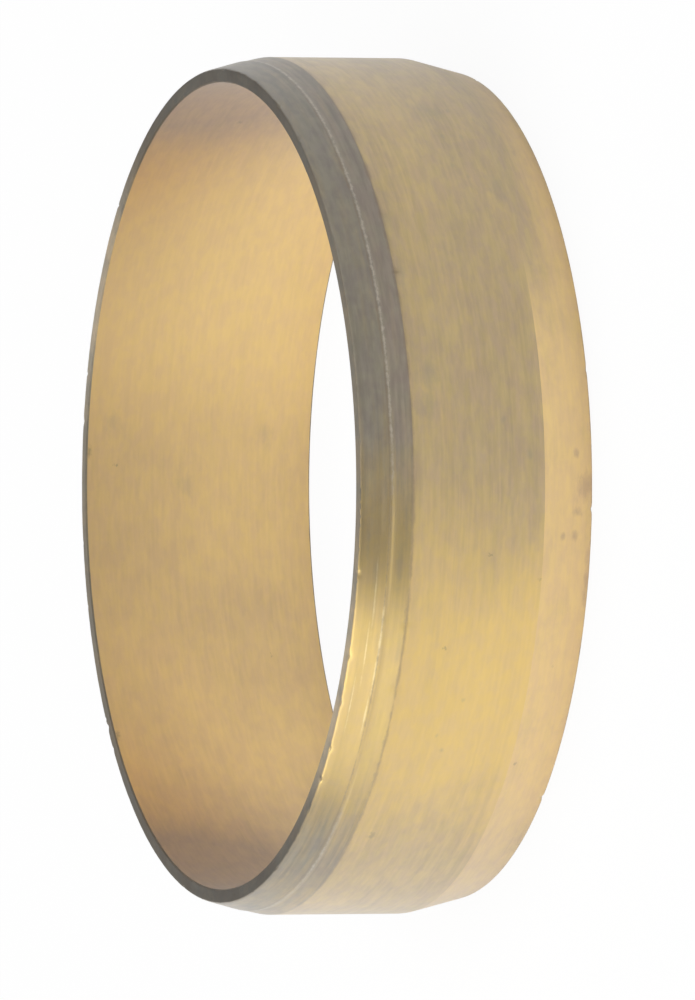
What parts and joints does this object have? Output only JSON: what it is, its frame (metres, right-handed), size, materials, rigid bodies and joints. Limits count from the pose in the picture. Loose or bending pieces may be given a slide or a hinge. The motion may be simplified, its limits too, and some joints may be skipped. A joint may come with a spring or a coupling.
{
  "type": "compression ring",
  "caption": "Turned brass compression ring for a pipe fitting: a thin band with a plain bore, a wide smooth land and a shallow bevel at each end.",
  "frame": {"origin": "on the bore's axis, in the plane of the plain end that the ring stands on", "axes": "+Z along the bore, from the plain end up to the seat end with the tool line; the ring is the same all round, so X and Y are free"},
  "size_m": [0.03, 0.03, 0.0085],
  "materials": {
    "brass": "turned brass, fine lathe marks all round, lightly tarnished in patches"
  },
  "bodies": {
    "root": {"compression_ring": "brass"}
  },
  "joints": []
}
